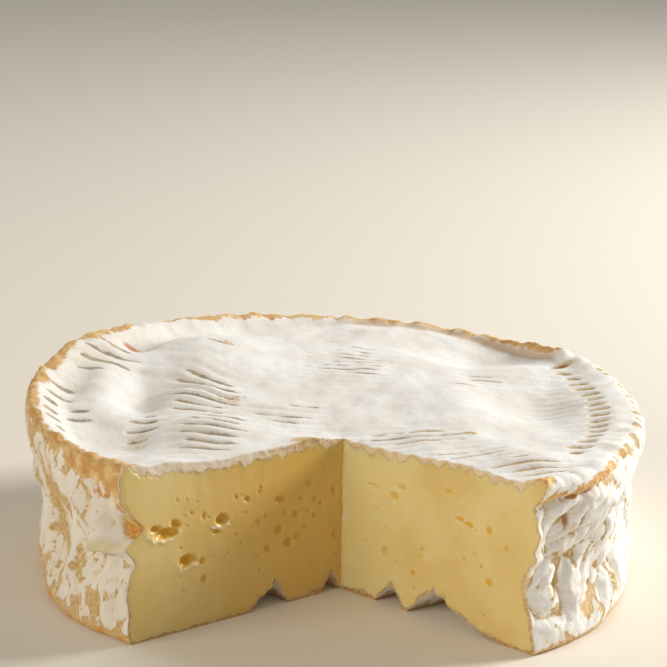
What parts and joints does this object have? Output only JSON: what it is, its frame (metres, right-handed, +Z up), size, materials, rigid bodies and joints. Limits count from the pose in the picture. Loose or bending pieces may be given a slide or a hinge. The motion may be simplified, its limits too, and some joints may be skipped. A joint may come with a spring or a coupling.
{
  "type": "camembert cheese",
  "caption": "Round soft white-rinded cheese with a wedge cut out, two open cut faces with small eyes, raised browned rim and creased sides",
  "frame": {"origin": "centre of the round flat base, where the cheese rests on the table", "axes": "+Z up, the wedge-shaped cut-out opens towards -Y, +X to the right as seen from the cut-out"},
  "size_m": [0.1114, 0.0989, 0.034],
  "materials": {
    "rind": "powdery white mould with browned crust",
    "paste": "waxy pale yellow cut paste"
  },
  "bodies": {
    "root": {"camembert": "rind"}
  },
  "joints": []
}
